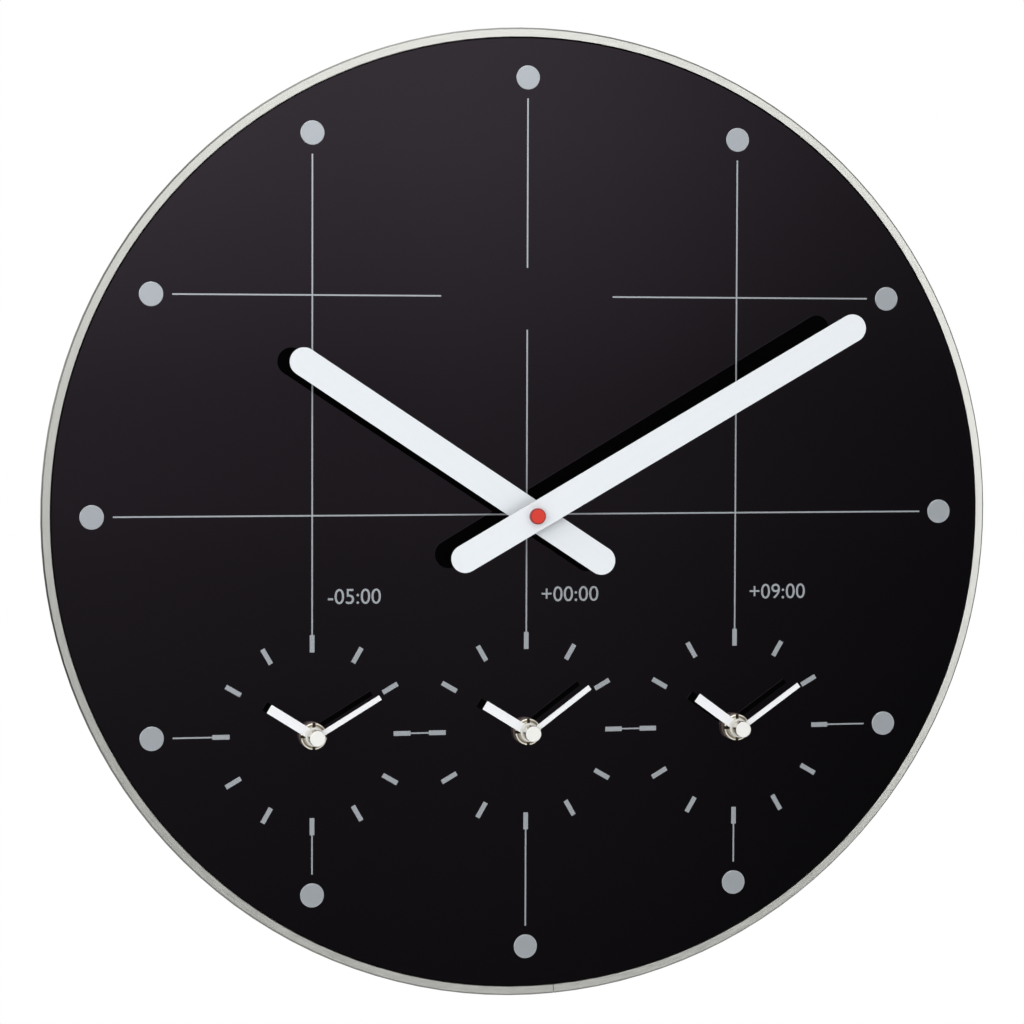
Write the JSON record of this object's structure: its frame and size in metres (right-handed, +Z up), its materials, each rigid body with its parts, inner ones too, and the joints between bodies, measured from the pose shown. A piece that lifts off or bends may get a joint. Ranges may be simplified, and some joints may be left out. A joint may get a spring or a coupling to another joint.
{
  "type": "world time wall clock",
  "caption": "Round black glass wall clock in a slim metal rim, with large bar hands and a row of small city dials, each on its own quartz movement.",
  "frame": {"origin": "middle of the hole in the hanger plate that the clock hangs by", "axes": "+Z up, +X to the right as seen from the front, +Y from the dial towards the wall"},
  "size_m": [0.43, 0.0548, 0.43],
  "materials": {
    "rim_metal": "satin, fine grain",
    "dial_glass": "gloss black, painted behind",
    "tape": "foam tape",
    "dial_print": "silver grey print",
    "steel": "zinc plated",
    "red_plastic": "red",
    "rubber": "matt black",
    "fibre": "fibre",
    "nickel": "nickel plated brass",
    "case_plastic": "moulded black",
    "cell_jacket": "plain dark jacket",
    "wheel_plastic": "natural acetal",
    "brass": "turned",
    "knob_plastic": "moulded pale grey",
    "hand_white": "satin white paint"
  },
  "bodies": {
    "clock": {"rim_ring": "rim_metal", "rim_splice": "rim_metal", "dial_glass": "dial_glass", "glass_tape": "tape", "hour_dots": "dial_print", "grid_lines": "dial_print", "city_ticks": "dial_print", "main_hanger": "steel", "rubber_washers": "rubber", "fibre_washers": "fibre", "clamp_nuts": "nickel", "drive_modules": "case_plastic", "batteries": "cell_jacket", "battery_contacts": "steel", "main_case": "case_plastic", "main_cover": "case_plastic", "left_case": "case_plastic", "left_cover": "case_plastic", "middle_case": "case_plastic", "middle_cover": "case_plastic", "right_case": "case_plastic", "right_cover": "case_plastic"},
    "main_minutes": {"main_minute_arbor": "brass", "main_minute_hand": "hand_white", "main_hand_cap": "red_plastic"},
    "main_hours": {"main_hour_wheel": "wheel_plastic", "main_hour_hand": "hand_white"},
    "main_reduction": {"main_reduction_wheel": "wheel_plastic"},
    "main_setting": {"main_setting_knob": "knob_plastic"},
    "left_minutes": {"left_minute_arbor": "brass", "left_minute_hand": "hand_white"},
    "left_hours": {"left_hour_wheel": "wheel_plastic", "left_hour_hand": "hand_white"},
    "left_reduction": {"left_reduction_wheel": "wheel_plastic"},
    "left_setting": {"left_setting_knob": "knob_plastic"},
    "middle_minutes": {"middle_minute_arbor": "brass", "middle_minute_hand": "hand_white"},
    "middle_hours": {"middle_hour_wheel": "wheel_plastic", "middle_hour_hand": "hand_white"},
    "middle_reduction": {"middle_reduction_wheel": "wheel_plastic"},
    "middle_setting": {"middle_setting_knob": "knob_plastic"},
    "right_minutes": {"right_minute_arbor": "brass", "right_minute_hand": "hand_white"},
    "right_hours": {"right_hour_wheel": "wheel_plastic", "right_hour_hand": "hand_white"},
    "right_reduction": {"right_reduction_wheel": "wheel_plastic"},
    "right_setting": {"right_setting_knob": "knob_plastic"}
  },
  "joints": [
    {"name": "main_minutes_turn", "type": "hinge", "parent": "clock", "child": "main_minutes", "pos_m": [0, 0, -0.038], "axis": [0, 1, 0], "continuous": true},
    {"name": "main_hours_turn", "type": "hinge", "parent": "clock", "child": "main_hours", "pos_m": [0, 0, -0.038], "axis": [0, 1, 0], "continuous": true},
    {"name": "main_reduction_turn", "type": "hinge", "parent": "clock", "child": "main_reduction", "pos_m": [0.0108, 0, -0.038], "axis": [0, 1, 0], "continuous": true},
    {"name": "main_setting_turn", "type": "hinge", "parent": "clock", "child": "main_setting", "pos_m": [0.0108, 0, -0.0272], "axis": [0, 1, 0], "continuous": true},
    {"name": "left_minutes_turn", "type": "hinge", "parent": "clock", "child": "left_minutes", "pos_m": [-0.0965, 0, -0.1345], "axis": [0, 1, 0], "continuous": true},
    {"name": "left_hours_turn", "type": "hinge", "parent": "clock", "child": "left_hours", "pos_m": [-0.0965, 0, -0.1345], "axis": [0, 1, 0], "continuous": true},
    {"name": "left_reduction_turn", "type": "hinge", "parent": "clock", "child": "left_reduction", "pos_m": [-0.0857, 0, -0.1345], "axis": [0, 1, 0], "continuous": true},
    {"name": "left_setting_turn", "type": "hinge", "parent": "clock", "child": "left_setting", "pos_m": [-0.0857, 0, -0.1237], "axis": [0, 1, 0], "continuous": true},
    {"name": "middle_minutes_turn", "type": "hinge", "parent": "clock", "child": "middle_minutes", "pos_m": [0, 0, -0.1345], "axis": [0, 1, 0], "continuous": true},
    {"name": "middle_hours_turn", "type": "hinge", "parent": "clock", "child": "middle_hours", "pos_m": [0, 0, -0.1345], "axis": [0, 1, 0], "continuous": true},
    {"name": "middle_reduction_turn", "type": "hinge", "parent": "clock", "child": "middle_reduction", "pos_m": [0.0108, 0, -0.1345], "axis": [0, 1, 0], "continuous": true},
    {"name": "middle_setting_turn", "type": "hinge", "parent": "clock", "child": "middle_setting", "pos_m": [0.0108, 0, -0.1237], "axis": [0, 1, 0], "continuous": true},
    {"name": "right_minutes_turn", "type": "hinge", "parent": "clock", "child": "right_minutes", "pos_m": [0.0965, 0, -0.1345], "axis": [0, 1, 0], "continuous": true},
    {"name": "right_hours_turn", "type": "hinge", "parent": "clock", "child": "right_hours", "pos_m": [0.0965, 0, -0.1345], "axis": [0, 1, 0], "continuous": true},
    {"name": "right_reduction_turn", "type": "hinge", "parent": "clock", "child": "right_reduction", "pos_m": [0.1073, 0, -0.1345], "axis": [0, 1, 0], "continuous": true},
    {"name": "right_setting_turn", "type": "hinge", "parent": "clock", "child": "right_setting", "pos_m": [0.1073, 0, -0.1237], "axis": [0, 1, 0], "continuous": true}
  ],
  "couplings": [
    {"joint": "main_hours_turn", "follows": "main_minutes_turn", "ratio": 0.083333},
    {"joint": "main_reduction_turn", "follows": "main_minutes_turn", "ratio": -0.33333},
    {"joint": "main_setting_turn", "follows": "main_minutes_turn", "ratio": 1},
    {"joint": "left_hours_turn", "follows": "left_minutes_turn", "ratio": 0.083333},
    {"joint": "left_reduction_turn", "follows": "left_minutes_turn", "ratio": -0.33333},
    {"joint": "left_setting_turn", "follows": "left_minutes_turn", "ratio": 1},
    {"joint": "middle_hours_turn", "follows": "middle_minutes_turn", "ratio": 0.083333},
    {"joint": "middle_reduction_turn", "follows": "middle_minutes_turn", "ratio": -0.33333},
    {"joint": "middle_setting_turn", "follows": "middle_minutes_turn", "ratio": 1},
    {"joint": "right_hours_turn", "follows": "right_minutes_turn", "ratio": 0.083333},
    {"joint": "right_reduction_turn", "follows": "right_minutes_turn", "ratio": -0.33333},
    {"joint": "right_setting_turn", "follows": "right_minutes_turn", "ratio": 1}
  ]
}
